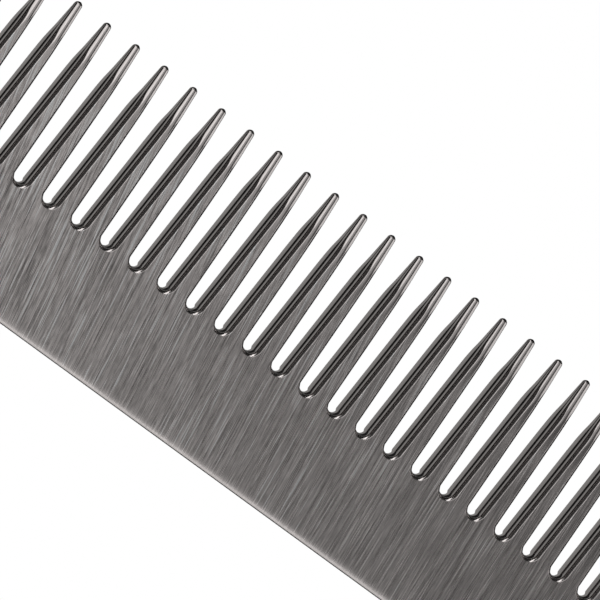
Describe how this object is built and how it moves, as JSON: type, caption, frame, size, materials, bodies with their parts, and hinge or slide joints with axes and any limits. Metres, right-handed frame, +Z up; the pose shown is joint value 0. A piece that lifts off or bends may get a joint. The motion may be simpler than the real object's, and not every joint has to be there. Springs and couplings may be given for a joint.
{
  "type": "metal barber comb",
  "caption": "Flat stainless steel barber's comb with a straight back, tapered round-tipped teeth in one even row and a broad guard tooth at each end.",
  "frame": {"origin": "middle of the comb's underside: the bottom centre of its bounding box, as it lies flat", "axes": "+X along the comb's length, +Y from its back towards its tooth tips, +Z up through its thickness"},
  "size_m": [0.17, 0.028, 0.002],
  "materials": {
    "steel": "satin, brushed across the comb's length along the teeth"
  },
  "bodies": {
    "root": {"comb_back": "steel", "end_tooth_left": "steel", "end_tooth_right": "steel", "tooth_01": "steel", "tooth_02": "steel", "tooth_03": "steel", "tooth_04": "steel", "tooth_05": "steel", "tooth_06": "steel", "tooth_07": "steel", "tooth_08": "steel", "tooth_09": "steel", "tooth_10": "steel", "tooth_11": "steel", "tooth_12": "steel", "tooth_13": "steel", "tooth_14": "steel", "tooth_15": "steel", "tooth_16": "steel", "tooth_17": "steel", "tooth_18": "steel", "tooth_19": "steel", "tooth_20": "steel", "tooth_21": "steel", "tooth_22": "steel", "tooth_23": "steel", "tooth_24": "steel", "tooth_25": "steel", "tooth_26": "steel", "tooth_27": "steel", "tooth_28": "steel", "tooth_29": "steel", "tooth_30": "steel", "tooth_31": "steel", "tooth_32": "steel", "tooth_33": "steel", "tooth_34": "steel", "tooth_35": "steel", "tooth_36": "steel", "tooth_37": "steel", "tooth_38": "steel", "tooth_39": "steel", "tooth_40": "steel", "tooth_41": "steel", "tooth_42": "steel", "tooth_43": "steel", "tooth_44": "steel"}
  },
  "joints": []
}
